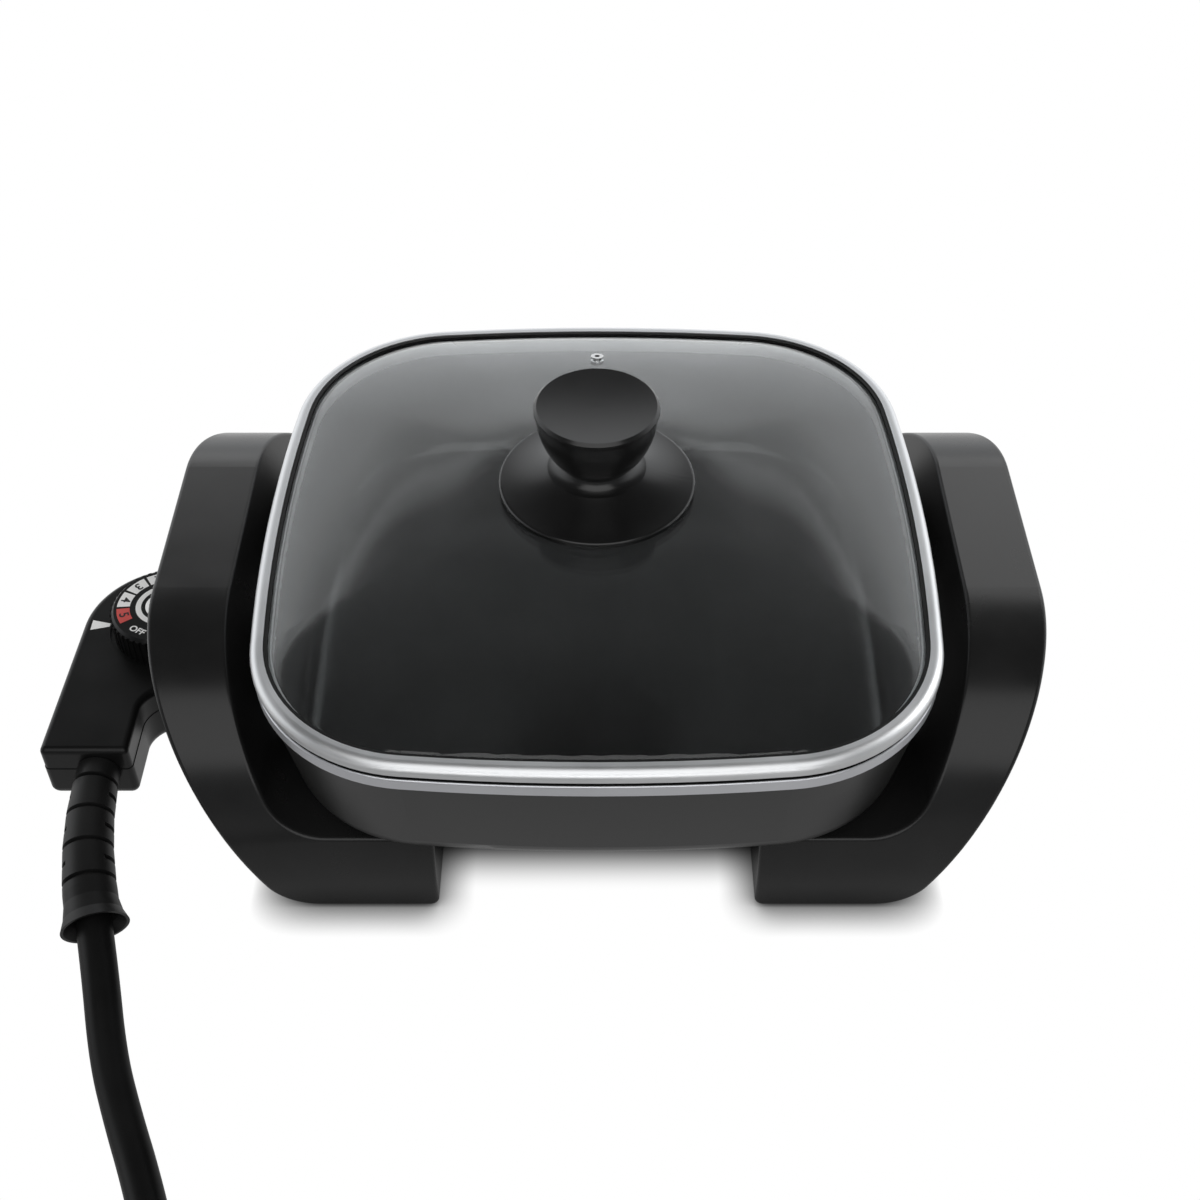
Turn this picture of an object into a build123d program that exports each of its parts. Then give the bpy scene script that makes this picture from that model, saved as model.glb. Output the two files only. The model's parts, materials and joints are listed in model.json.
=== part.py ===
from build123d import *
import math
import os

# Electric cooking pot: a square cast pan on two handle mouldings, with a lift-off glass lid
# and a plug-in temperature control. Millimetres. The origin is on the table under the middle
# of the pan, +X to the right, -Y to the front, +Z up.

# Clearances
seat_gap = 0.1  # pieces of one body that lie against each other
free_gap = 0.3  # pieces that part from each other
running_gap = 0.06  # the dial shaft in its bearings
past = 1.0  # how far a cut runs past the face that it opens

# Plan of the pot: a square with bowed sides and round corners
lid_half = 151.0
bow_share = 5.8  # radius of the bowed sides, as a share of the half width
corner_share = 0.5
bow_radius = bow_share * lid_half
corner_radius = corner_share * lid_half

# Stand and handles
pad_height = 1.5
foot_height = 44.0  # top of the feet above the table
foot_reach = 79.5  # the feet reach this far in under the pan
foot_end = lid_half - foot_reach  # inner end of a foot from the middle
foot_end_round = 4.0
handle_height = 109.0
handle_inset = 23.0  # the handles are this much shorter than the lid at each end
handle_half_depth = lid_half - handle_inset
grip_gap = 14.5  # between the lid and the grip
grip_width = 36.5
grip_inner = lid_half + grip_gap  # inner and outer edge of the grip at its top
grip_outer = grip_inner + grip_width
heel_inset = 13.4
toe_step = 2.6
heel_inner = lid_half - heel_inset  # where the inner slope meets the top of the foot
toe_outer = heel_inner + toe_step  # where the outer slope meets the table
toe_round = 26.0
heel_round = 28.0
front_sweep = 97.0
back_sweep = 75.0
handle_wall = 3.5
arch_foot_share = 0.594
arch_top_share = 0.39
arch_foot_half = arch_foot_share * handle_half_depth
arch_top_half = arch_top_share * handle_half_depth
arch_height = 78.0
arch_round = 22.0
handle_edge_round = 2.0
smooth_angle = 5.0  # faces that meet within this angle run smoothly on

# Pan
heat_washer = 0.8
boss_height = 3.2
pan_height = 66.5  # bottom to the top of the rim band
pan_floor = 4.0
pan_wall = 4.0
rim_inset = 0.5
rim_half = lid_half - rim_inset
rim_height = 5.5
rim_step = 1.5  # the rim band stands out from the coated wall
rim_edge_round = 0.8
wall_slope = 0.1875  # the wall leans out by this much for each unit of height
pan_round = 16.5
pan_inner_round = 14.0
bead_width = 1.7
bead_height = 2.2

# Screws between the handles and the pan
boss_radius = 8.0
boss_from_end = 18.5
boss_from_pad = 4.0
boss_x = foot_end + boss_from_end
boss_y = (handle_half_depth + arch_foot_half) / 2 - boss_from_pad
screw_radius = 2.5
screw_head_radius = 4.5
screw_head_height = 3.3
screw_grip = 5.4  # length in the pan

# Foot pads
pad_margin = 2.5
pad_side_margin = 6.0
pad_length = 46.0
pad_width = handle_half_depth - arch_foot_half - 2 * pad_side_margin
pad_x = foot_end + pad_margin + pad_length / 2
pad_y = (handle_half_depth + arch_foot_half) / 2
pad_round = 6.0
pad_plug_height = 6.0
pad_lip = 3.0

# Heating element and its terminals
element_radius = 4.0
element_drop = 4.5  # axis below the pan's bottom
element_front_share = 0.40625  # of the handles' half depth, where its ridge runs clear of the feet
element_front = element_front_share * handle_half_depth
element_inset = 62.0
element_right_inset = 80.0
element_left = lid_half - element_inset
element_right = lid_half - element_right_inset
pin_pitch = 30.0
widest_turn = 15.0
turn_share = 0.49  # the most that one turn takes of the run between two turns
element_turn = min(widest_turn, turn_share * (element_front - pin_pitch / 2))
pin_radius = 2.4
pin_length = 30.0
element_end_inset = 26.0
element_end = lid_half - element_end_inset
ridge_width = 14.0
ridge_height = 6.0
ridge_end_inset = 32.0
ridge_end = lid_half - ridge_end_inset
ridge_root = 1.5  # the ridge runs this far into the floor
bead_radius = 4.6
bead_length = 5.0
probe_radius = 3.0
probe_reach = 84.0
probe_bore_reach = 90.0
probe_tip = lid_half - probe_reach
probe_bore_end = lid_half - probe_bore_reach
probe_block_height = 10.0

# Terminal guard
guard_sheet = 1.5
guard_half = 29.5
guard_length = 34.0
guard_front = lid_half
guard_back = guard_front - guard_length
guard_bottom = 29.5
guard_top = 44.0
guard_tab = 16.0
guard_tab_width = 15.0
guard_boss_radius = 5.0
guard_screw_radius = 1.7
guard_screw_head = 3.2
guard_screw_head_height = 2.2

# Lid
ring_height = 6.6
ring_width = 6.0
ring_sheet = 1.0
ring_foot = 10.0  # width of the lower flange, which shows through the glass
ring_skirt = 5.5
ring_round = 4.0
gasket_under = 0.4
gasket_inset = 7.7
gasket_inner = lid_half - gasket_inset
gasket_below_ring = 0.5
glass_thickness = 3.6
glass_inset = 3.0
glass_half = lid_half - glass_inset
dome_gap = 0.2
dome_half = gasket_inner - dome_gap
dome_rise = 23.5
dome_power = 0.8
dome_shares = (1.0, 0.96, 0.9, 0.8, 0.66, 0.47, 0.3, 0.12)

# Vent eyelet
vent_share = 0.755
vent_y = vent_share * dome_half
vent_flange = 3.2
vent_tube = 2.3
vent_hole = 1.3
vent_sheet = 0.7

# Knob
flange_radius = 44.0
flange_edge = 2.8
flange_edge_round = 1.4
flange_lift = 0.3
hub_radius = 22.0
hub_height = 9.5
waist_radius = 16.5
waist_height = 14.0
flange_shell = 2.2
seat_radius = 11.0
grip_height = 29.5
grip_radius = 27.4
grip_neck_radius = 26.5
grip_bevel = 1.3
grip_dish = 1.4
grip_band = 2.6
grip_bow_share = 0.28  # how far the side of the grip bows out, as a share of its flare
insert_radius = 4.0
insert_length = 17.0
knob_screw_radius = 2.0
knob_screw_head = 4.2
knob_screw_head_height = 2.8
knob_screw_reach = 25.0
seal_radius = 10.5
seal_thickness = 1.5
washer_radius = 9.0
washer_thickness = 1.2

# Temperature control
dial_from_lid = 58.0
dial_x = -lid_half - dial_from_lid
control_bottom = 20.5
control_top = 53.0
control_split = 40.0
control_wall = 2.5
head_radius = 42.0
tail_offset = 4.0
tail_slope = 0.038  # the tail widens to the left by this much for each unit of length
neck_length = 37.0
control_tail_right = dial_x - tail_offset
control_front = -80.0
control_right = dial_x + neck_length
neck_half = 30.0
flare_round = 14.0
tail_round = 3.0
top_round = 3.0
bottom_round = 6.0
cover_inset = 0.3  # the top cover is this much smaller all round
dial_radius = 25.8
dial_recess_radius = 28.0
dial_recess = 1.2
dial_top = 67.0
dial_lift = 0.4
dial_bevel = 1.2
flute_count = 48
flute_radius = 0.9
shaft_radius = 3.0
shaft_clear = 0.6  # between the shaft and the blade under it
shaft_in_dial = 8.0
cap_radius = 8.6
cap_thickness = 1.2
shaft_boss_radius = 7.0
shaft_boss_height = 5.5

# Contact block, sockets and probe
terminal_z = foot_height + heat_washer + boss_height - element_drop
nose_inset = 19.5
nose_tip = -lid_half + nose_inset
nose_half = 25.0
nose_bottom = 35.5
nose_top = 48.5
flange_half = 26.4
flange_bottom = 33.0
block_flange = 4.0
socket_radius = 3.8
socket_length = 24.0
socket_back = 1.0
probe_tail = 9.0
probe_inner = control_right - probe_tail

# Thermostat
bracket_sheet = 1.5
bracket_back = 20.0
bracket_ahead = 22.0
bracket_top_ahead = 9.0
bracket_left = dial_x - bracket_back
bracket_right = dial_x + bracket_ahead
bracket_top_right = dial_x + bracket_top_ahead
bracket_half = 13.0
bracket_top = 43.5
blade_thickness = 0.8
blade_half = 4.0
blade_back = 13.0
spacer_length = 8.0
blade_left = dial_x - blade_back
spacer_left = bracket_right - spacer_length
spacer_half = 5.0
spacer_heights = (3.0, 3.2, 2.7)

# Cover screws
cover_screw_offsets = ((-35.0, -40.0), (-10.5, -55.0), (0.0, 34.0), (22.0, -25.0))
cover_screw_places = [(dial_x + x, y) for x, y in cover_screw_offsets]
cover_post_radius = 3.4
cover_screw_radius = 1.5
cover_head_radius = 2.9
cover_head_height = 2.2
cover_head_sink = 0.4
cover_screw_top = 47.0

# Strain relief and cord clamp
relief_from_dial = 19.5
relief_z = 39.0
relief_bend = (13.4, -79.0, -9.0)  # from the root to the mouth
relief_start = (dial_x - relief_from_dial, control_front, relief_z)
relief_end = tuple(a + b for a, b in zip(relief_start, relief_bend))
relief_neck_radius = 7.9
relief_flange_radius = 9.5
relief_flange = 2.2
relief_stub = 15.0
relief_root_radius = 9.8
relief_radius = 11.6
relief_groove_depth = 2.0
relief_groove_shares = (0.10, 0.31, 0.52, 0.73)
relief_groove_width_share = 0.026
relief_ramp_share = 0.004
relief_slot_shares = (0.22, 0.43, 0.64)
relief_slot_width = 2.2
relief_slot_inner = 8.2  # the side slots stop this far from the middle
relief_sleeve_share = 0.80
relief_bell_shares = ((0.86, 1.0), (0.94, 1.1), (1.0, 1.26))
mouth_floor_share = 0.86
mouth_shares = ((0.86, 0.7), (0.94, 0.93), (1.0, 1.15))
clamp_length = 7.0
clamp_half = 8.6
clamp_sheet = 3.0

# Cord set
cord_diameter = 15.5
cord_exit_run = 30.0
lead_offsets = ((27.0, -132.0), (37.5, -157.0), (49.0, -181.0), (62.0, -212.0), (70.5, -243.0),
                (75.0, -270.0), (78.0, -291.0))  # from the root of the strain relief
lead_heights = (15.0, 10.4, 9.25, 9.25, 9.25, 9.25, 9.25)
coil_inner_radius = 62.0
coil_step = 16.2
layer_height = 16.1
coil_turns_in = 1.0
coil_turns_out = 1.25
quarter_turn = math.pi / 2
tail_steps = ((30.0, 0.0, 0.0), (28.0, -3.0, -5.0), (28.0, -4.0, -7.65), (26.0, -5.0, 0.0))
tie_sheet = 1.2
tie_width = 9.0
tie_gap = 0.4

# Mains plug
plug_length = 46.0
plug_width = 37.0
plug_height = 24.0
plug_round = 6.0
plug_neck = 19.0
plug_neck_share = 0.42
plug_pin_radius = 2.0
plug_pin_length = 19.0
plug_pin_pitch = 19.0
plug_earth_offset = 3.0
plug_pin_root = 5.0
plug_pin_root_radius = 2.6

# Heights that follow
foot_top = foot_height
pan_bottom = foot_top + heat_washer + boss_height
pan_inside = pan_bottom + pan_floor
rim_top = pan_bottom + pan_height
rim_bottom = rim_top - rim_height
bead_top = rim_top + bead_height
ring_bottom = bead_top + free_gap
ring_top = ring_bottom + ring_height
glass_bottom = ring_bottom + ring_sheet + gasket_under
glass_edge_top = glass_bottom + glass_thickness
cord_radius = cord_diameter / 2


def dome_height(share):
    """Height of the glass above its edge where the plan has shrunk to this share."""
    return dome_rise * (1 - share**2) ** dome_power


def soft_square(half, share=1.0):
    """Plan of the pot at this half width, parallel to the lid's edge, then shrunk to a share."""
    side = bow_radius + half - lid_half
    corner = corner_radius + half - lid_half
    back = half - side
    reach = side - corner
    centre = (back + math.sqrt(2 * reach**2 - back**2)) / 2
    tx = (back + side * (centre - back) / reach) * share
    ty = side * centre / reach * share
    middle = (centre + corner / math.sqrt(2)) * share
    edges = []
    for quarter in range(4):
        turn = Rot(0, 0, 90 * quarter)
        edges.append(turn * ThreePointArc((tx, -ty), (half * share, 0), (tx, ty)))
        edges.append(turn * ThreePointArc((tx, ty), (middle, middle), (ty, tx)))
    return make_face(edges)


def soft_prism(half, low, high):
    return extrude(Pos(0, 0, low) * soft_square(half), amount=high - low)


def soft_band(outer, inner, low, high):
    return soft_prism(outer, low, high) - soft_prism(inner, low - past, high + past)


def block(x0, x1, y0, y1, z0, z1):
    middle = Pos((x0 + x1) / 2, (y0 + y1) / 2, (z0 + z1) / 2)
    return middle * Box(abs(x1 - x0), abs(y1 - y0), abs(z1 - z0))


def post(x, y, z0, z1, radius):
    return Pos(x, y, (z0 + z1) / 2) * Cylinder(radius, z1 - z0)


def rod_x(x0, x1, y, z, radius):
    return Pos((x0 + x1) / 2, y, z) * Rot(0, 90, 0) * Cylinder(radius, abs(x1 - x0))


def rod_y(y0, y1, x, z, radius):
    return Pos(x, (y0 + y1) / 2, z) * Rot(90, 0, 0) * Cylinder(radius, abs(y1 - y0))


def ring(x, y, z0, z1, outer, inner):
    return post(x, y, z0, z1, outer) - post(x, y, z0 - past, z1 + past, inner)


def both_signs(x, y):
    return [(sx * x, sy * y) for sx in (1, -1) for sy in (1, -1)]


def half_at(z, at_rim_bottom):
    """Half width of the pan's wall at a height, from its half width under the rim band."""
    return at_rim_bottom - (rim_bottom - z) * wall_slope


def pan_form(at_rim_bottom, low, high, rounding):
    form = loft(
        [Pos(0, 0, z) * soft_square(half_at(z, at_rim_bottom)) for z in (low, high)], ruled=True
    )
    return fillet(form.faces().sort_by(Axis.Z)[0].edges(), rounding)


def element_path(z):
    pins = pin_pitch / 2
    corners = [(-element_end, -pins), (-element_left, -pins), (-element_left, -element_front),
               (element_right, -element_front), (element_right, element_front),
               (-element_left, element_front), (-element_left, pins), (-element_end, pins)]
    return FilletPolyline([(x, y, z) for x, y in corners], radius=element_turn)


def ridge(width, low, high, end):
    """A straight-sided track along the heating element."""
    path = element_path(low)
    start = Plane(origin=path @ 0, x_dir=(0, 1, 0), z_dir=path % 0)
    track = sweep(start * Rectangle(width, 2 * (high - low)), path)
    return track & block(-end, lid_half, -lid_half, lid_half, low, high)


def make_pan():
    outer_half = rim_half - rim_step
    body = pan_form(outer_half, pan_bottom, rim_bottom, pan_round)
    band = soft_prism(rim_half, rim_bottom, rim_top)
    band = fillet(band.faces().sort_by(Axis.Z)[-1].edges(), rim_edge_round)
    inner_half = outer_half - pan_wall
    bead = soft_prism(half_at(bead_top, inner_half) + bead_width, rim_top - past, bead_top)
    cavity = pan_form(inner_half, pan_inside, bead_top + past, pan_inner_round)
    pan = body + band + bead - cavity
    ridge_low = pan_bottom - ridge_height
    pan += ridge(ridge_width, ridge_low, pan_bottom + ridge_root, ridge_end)
    pan += block(-ridge_end, -probe_bore_end + past, -ridge_width / 2 + past, ridge_width / 2 - past,
                 pan_bottom - probe_block_height, pan_bottom + ridge_root)
    groove_top = terminal_z + element_radius + seat_gap
    pan -= ridge(2 * (element_radius + seat_gap), ridge_low - past, groove_top, element_end + past)
    pan -= rod_x(-ridge_end - past, -probe_bore_end, 0, terminal_z, probe_radius + free_gap)
    for x, y in both_signs(boss_x, boss_y):
        pan += post(x, y, foot_top + heat_washer, pan_bottom + past, boss_radius)
    for x, y in both_signs(boss_x, boss_y):
        pan -= post(x, y, foot_top, foot_top + heat_washer + screw_grip, screw_radius + seat_gap)
    for x, y in guard_screws():
        pan += post(x, y, guard_top, pan_bottom + past, guard_boss_radius)
        pan -= post(x, y, guard_top - past, pan_bottom + past, guard_screw_radius + seat_gap)
    return pan


def make_element():
    path = element_path(terminal_z)
    return sweep(Plane(path ^ 0) * Circle(element_radius), path)


def terminal_rods(start, end, radius):
    return [rod_x(start, end, side * pin_pitch / 2, terminal_z, radius) for side in (1, -1)]


def make_element_pins():
    return terminal_rods(-element_end, -element_end - pin_length, pin_radius)


def make_terminal_beads():
    gap = pin_radius + seat_gap
    ends = terminal_rods(-element_end - bead_length, -element_end - seat_gap, bead_radius)
    holes = terminal_rods(-element_end - bead_length - past, -element_end + past, gap)
    return [end - hole for end, hole in zip(ends, holes)]


def guard_screws():
    x = -guard_back + guard_tab / 2
    return [(x, side * (guard_half + guard_tab_width / 2)) for side in (1, -1)]


def make_guard():
    back = -guard_back + guard_tab
    guard = block(-guard_front, -guard_back, -guard_half, guard_half, guard_bottom, guard_top)
    guard -= block(-guard_front - past, -guard_back + past, -guard_half + guard_sheet,
                   guard_half - guard_sheet, guard_bottom + guard_sheet, guard_top + past)
    for side in (1, -1):
        y0 = side * (guard_half - guard_sheet)
        y1 = side * (guard_half + guard_tab_width)
        guard += block(-guard_back - guard_tab, back, y0, y1, guard_top - guard_sheet, guard_top)
    for x, y in guard_screws():
        guard -= post(x, y, guard_bottom, guard_top + past, guard_screw_radius + seat_gap)
    return guard


def make_guard_screws():
    head_top = guard_top - guard_sheet
    screws = []
    for x, y in guard_screws():
        head = post(x, y, head_top - guard_screw_head_height, head_top, guard_screw_head)
        screws.append(head + post(x, y, head_top, pan_bottom, guard_screw_radius))
    return screws


def front_profile(low, high):
    """The right handle seen from the front: a foot, a rounded corner and a grip that leans out."""
    outer_slope = (grip_outer - toe_outer) / handle_height
    inner_slope = (grip_inner - heel_inner) / (handle_height - foot_top)
    corners = [
        (foot_end, low),
        (toe_outer + outer_slope * low, low),
        (toe_outer + outer_slope * high, high),
        (heel_inner + inner_slope * (high - foot_top), high),
        (heel_inner, foot_top),
        (foot_end, foot_top),
    ]
    rounds = [foot_end_round, toe_round, 0, 0, heel_round, 0]
    return make_face(FilletPolyline(corners, radius=rounds, close=True))


def side_profile(low):
    """The handle seen from the side: a long front sweep, a tighter back sweep and an arch below."""
    half, top = handle_half_depth, handle_height
    front, back = front_sweep, back_sweep
    lean = math.sqrt(0.5)
    outline = [
        Line((-half, low), (-half, top - front)),
        ThreePointArc((-half, top - front),
                      (-half + front * (1 - lean), top - front * (1 - lean)), (-half + front, top)),
        Line((-half + front, top), (half - back, top)),
        ThreePointArc((half - back, top),
                      (half - back * (1 - lean), top - back * (1 - lean)), (half, top - back)),
        Line((half, top - back), (half, low)),
        Line((half, low), (-half, low)),
    ]
    slope = (arch_foot_half - arch_top_half) / arch_height
    foot = arch_foot_half - slope * (low - past)
    arch = FilletPolyline(
        [(-foot, low - past), (-arch_top_half, arch_height), (arch_top_half, arch_height),
         (foot, low - past)],
        radius=[0, arch_round, arch_round, 0], close=True,
    )
    return make_face(outline) - make_face(arch)


def pad_plan(inset):
    width, length = pad_width - 2 * inset, pad_length - 2 * inset
    return RectangleRounded(length, width, max(pad_round - inset, past))


def sharp_edges(form, above):
    """Edges above a height where two faces meet at an angle."""
    found = []
    for edge in form.edges():
        middle = edge @ 0.5
        ways = [face.normal_at(middle) for face in form.faces()
                if any(edge.is_same(side) for side in face.edges())]
        if middle.Z > above and len(ways) == 2 and ways[0].get_angle(ways[1]) > smooth_angle:
            found.append(edge)
    return found


def make_handle():
    """The right handle: a hollow moulding, open under each foot."""
    top = handle_height + past
    front = front_profile(pad_height, top)
    side = side_profile(pad_height)
    depth = handle_half_depth + past
    form = extrude(Plane.XZ * front, amount=depth, both=True)
    form &= extrude(Plane.YZ * side, amount=grip_outer + depth)
    form = fillet(sharp_edges(form, pad_height + past), handle_edge_round)
    hollow = extrude(Plane.XZ * offset(front, -handle_wall), amount=depth, both=True)
    hollow &= extrude(Plane.YZ * offset(side, -handle_wall), amount=grip_outer + depth)
    handle = form - hollow
    for y in (boss_y, -boss_y):
        column = post(boss_x, y, foot_top - 2 * handle_wall, foot_top - seat_gap, boss_radius)
        handle += column
        handle -= post(boss_x, y, foot_top - 3 * handle_wall, foot_top + past, screw_radius + seat_gap)
    for y in (pad_y, -pad_y):
        opening = extrude(pad_plan(pad_lip), amount=pad_height + pad_plug_height)
        handle -= Pos(pad_x, y, 0) * opening
    return handle


def make_handle_screws():
    head_top = foot_top - 2 * handle_wall
    screws = []
    for x, y in both_signs(boss_x, boss_y):
        head = post(x, y, head_top - screw_head_height, head_top, screw_head_radius)
        shank = post(x, y, head_top, foot_top + heat_washer + screw_grip - seat_gap, screw_radius)
        screws.append(head + shank)
    return screws


def make_heat_washers():
    return [ring(x, y, foot_top, foot_top + heat_washer, boss_radius, screw_radius + seat_gap)
            for x, y in both_signs(boss_x, boss_y)]


def make_foot_pads():
    pads = []
    for x, y in both_signs(pad_x, pad_y):
        plate = extrude(pad_plan(0), amount=pad_height)
        plug = extrude(pad_plan(pad_lip + seat_gap), amount=pad_height + pad_plug_height)
        pads.append(Pos(x, y, 0) * (plate + plug))
    return pads


def ring_hollow(half):
    """The room inside the rolled ring, round at its top like the ring."""
    room = soft_prism(half, ring_bottom + ring_sheet, ring_top - ring_sheet)
    return fillet(room.faces().sort_by(Axis.Z)[-1].edges(), ring_round - ring_sheet)


def make_lid_ring():
    inner_wall = lid_half - ring_sheet
    shell = soft_prism(lid_half, ring_bottom, ring_top)
    top_edges = shell.faces().sort_by(Axis.Z)[-1].edges()
    shell = fillet(top_edges, ring_round)
    shell = fillet(shell.faces().sort_by(Axis.Z)[0].edges(), ring_sheet)
    shell -= ring_hollow(inner_wall)
    shell -= soft_prism(lid_half - ring_width, ring_top - ring_sheet - past, ring_top + past)
    shell -= soft_prism(lid_half - ring_foot, ring_bottom - past, ring_bottom + ring_sheet + past)
    skirt_half = lid_half - ring_foot
    shell += soft_band(skirt_half + ring_sheet, skirt_half, ring_bottom - ring_skirt, ring_bottom + ring_sheet)
    return shell


def make_lid_gasket():
    low, high = ring_bottom + ring_sheet, ring_top - ring_sheet
    body = ring_hollow(lid_half - ring_sheet - seat_gap)
    body -= soft_prism(gasket_inner, low - past, high + past)
    lip = soft_band(lid_half - ring_width - seat_gap, gasket_inner, high - past,
                    ring_top - gasket_below_ring)
    slot = soft_prism(glass_half + seat_gap, glass_bottom, glass_edge_top)
    return body + lip - slot


def dome_form():
    return loft([Pos(0, 0, glass_edge_top + dome_height(s)) * soft_square(dome_half, s)
                 for s in dome_shares])


def vent_frame():
    """Place of the vent eyelet on the glass, with Z square to the dome."""
    share = vent_y / dome_half
    height = glass_edge_top + dome_height(share)
    slope = -2 * dome_power * dome_rise * share * (1 - share**2) ** (dome_power - 1) / dome_half
    return Pos(0, vent_y, height) * Rot(math.degrees(math.atan(slope)), 0, 0)


def make_lid_glass():
    dome = dome_form()
    glass = soft_prism(glass_half, glass_bottom, glass_edge_top) + dome
    glass -= Pos(0, 0, -glass_thickness) * dome
    glass -= post(0, 0, glass_bottom, glass_edge_top + 2 * dome_rise, insert_radius + free_gap)
    glass -= vent_frame() * Cylinder(vent_tube + seat_gap, 4 * glass_thickness)
    return glass


def make_vent_eyelet():
    low = -glass_thickness - vent_sheet
    tube = Cylinder(vent_tube, glass_thickness + 2 * vent_sheet)
    tube = Pos(0, 0, -glass_thickness / 2) * tube
    top = Pos(0, 0, vent_sheet / 2 + seat_gap) * Cylinder(vent_flange, vent_sheet)
    bottom = Pos(0, 0, low + vent_sheet / 2 - seat_gap) * Cylinder(vent_flange, vent_sheet)
    eyelet = top + tube + bottom - Cylinder(vent_hole, 4 * glass_thickness)
    return vent_frame() * eyelet


def glass_top():
    """Height of the flat in the middle of the glass."""
    return glass_edge_top + dome_height(dome_shares[-1])


def flange_bottom_z():
    """Underside of the knob's flange, clear of the glass where the dome is highest under its edge."""
    diagonal = (1 - corner_radius / lid_half) * math.sqrt(2) + corner_radius / lid_half
    return glass_edge_top + dome_height(flange_radius / dome_half / diagonal) + flange_lift


def waist_z():
    return flange_bottom_z() + waist_height


def make_knob_base():
    low = flange_bottom_z()
    hub, waist = low + hub_height, waist_z()
    edge = low + flange_edge
    seat = glass_top() + seal_thickness
    bore = insert_radius + seat_gap
    rim = flange_radius - flange_shell
    slope = (hub - edge) / (flange_radius - hub_radius)
    middle = (flange_radius + hub_radius) / 2
    sag = flange_edge / 2
    edge_round = flange_edge_round
    lean = edge_round * (1 - math.sqrt(0.5))
    step = (hub_radius - waist_radius) / 4
    outline = [
        Line((bore, seat), (seat_radius, seat)),
        Line((seat_radius, seat), (seat_radius, hub - flange_shell)),
        Line((seat_radius, hub - flange_shell), (hub_radius - flange_shell, hub - flange_shell)),
        Line((hub_radius - flange_shell, hub - flange_shell), (rim, low + flange_lift)),
        Line((rim, low + flange_lift), (rim, low)),
        Line((rim, low), (flange_radius, low)),
        Line((flange_radius, low), (flange_radius, edge - edge_round)),
        ThreePointArc((flange_radius, edge - edge_round), (flange_radius - lean, edge - lean),
                      (flange_radius - edge_round, edge)),
        ThreePointArc((flange_radius - edge_round, edge),
                      (middle, edge + slope * (flange_radius - middle) - sag), (hub_radius, hub)),
        ThreePointArc((hub_radius, hub), (waist_radius + step, (hub + waist) / 2),
                      (waist_radius, waist)),
        Line((waist_radius, waist), (bore, waist)),
        Line((bore, waist), (bore, seat)),
    ]
    return revolve(Plane.XZ * make_face(outline), Axis.Z)


def make_knob_grip():
    low = waist_z() + seat_gap
    high = low + grip_height
    neck = high - grip_bevel - grip_band
    bore = insert_radius + seat_gap
    bow = (grip_neck_radius - waist_radius) * grip_bow_share
    top = grip_radius - grip_bevel
    sphere = (top**2 + grip_dish**2) / (2 * grip_dish)
    halfway = high - grip_dish + sphere - math.sqrt(sphere**2 - top**2 / 4)
    shoulder = (waist_radius + grip_neck_radius) / 2
    outline = [
        Line((bore, low), (waist_radius, low)),
        ThreePointArc((waist_radius, low), (shoulder + bow, (low + neck) / 2),
                      (grip_neck_radius, neck)),
        Line((grip_neck_radius, neck), (grip_radius, high - grip_band)),
        Line((grip_radius, high - grip_band), (grip_radius, high - grip_bevel)),
        Line((grip_radius, high - grip_bevel), (top, high)),
        ThreePointArc((top, high), (top / 2, halfway), (0, high - grip_dish)),
        Line((0, high - grip_dish), (0, low + insert_length + seat_gap)),
        Line((0, low + insert_length + seat_gap), (bore, low + insert_length + seat_gap)),
        Line((bore, low + insert_length + seat_gap), (bore, low)),
    ]
    return revolve(Plane.XZ * make_face(outline), Axis.Z)


def make_knob_insert():
    low = waist_z() + seat_gap
    return ring(0, 0, low, low + insert_length, insert_radius, knob_screw_radius + seat_gap)


def make_knob_screw():
    head_top = glass_top() - glass_thickness - seal_thickness - washer_thickness
    head = post(0, 0, head_top - knob_screw_head_height, head_top, knob_screw_head)
    return head + post(0, 0, head_top, waist_z() + insert_length / 2, knob_screw_radius)


def make_knob_washer():
    high = glass_top() - glass_thickness - seal_thickness
    return ring(0, 0, high - washer_thickness, high, washer_radius, knob_screw_radius + seat_gap)


def make_knob_seals():
    upper, lower = glass_top(), glass_top() - glass_thickness - seal_thickness
    return [ring(0, 0, low, low + seal_thickness, seal_radius, knob_screw_radius + seat_gap)
            for low in (upper, lower)]


def control_plan(inset):
    """Plan of the control: a round head under the dial, a neck to the pan and a tail to the cord."""
    head = Pos(dial_x, 0) * Circle(head_radius)
    neck = Pos((dial_x + control_right) / 2, 0) * Rectangle(control_right - dial_x, 2 * neck_half)
    lean = math.atan(tail_slope)
    left, back = dial_x - head_radius * math.cos(lean), head_radius * math.sin(lean)
    front_left = left - tail_slope * (back - control_front)
    plan = head + neck + make_face(Polyline(
        (left, back), (front_left, control_front), (control_tail_right, control_front),
        (control_tail_right, back), close=True))
    beyond = Pos(control_right + lid_half / 2, 0) * Rectangle(lid_half, lid_half)
    plan -= beyond
    inner_corner = plan.vertices().sort_by_distance((control_tail_right, -head_radius, 0))[0]
    plan = fillet(inner_corner, flare_round)
    front = plan.vertices().filter_by(lambda v: v.Y < control_front + tail_round)
    plan = fillet(front, tail_round)
    return offset(plan, -inset) if inset else plan


def control_shell(low, high, inset):
    return extrude(Pos(0, 0, low) * control_plan(inset), amount=high - low)


def nose_window():
    gap = seat_gap
    return block(control_right - 2 * control_wall, control_right + past, -nose_half - gap, nose_half + gap,
                 nose_bottom - gap, nose_top + gap)


def relief_hole():
    x, y, z = relief_start
    return rod_y(y - past, y + control_wall + cover_inset + past, x, z, relief_neck_radius + seat_gap)


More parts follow.
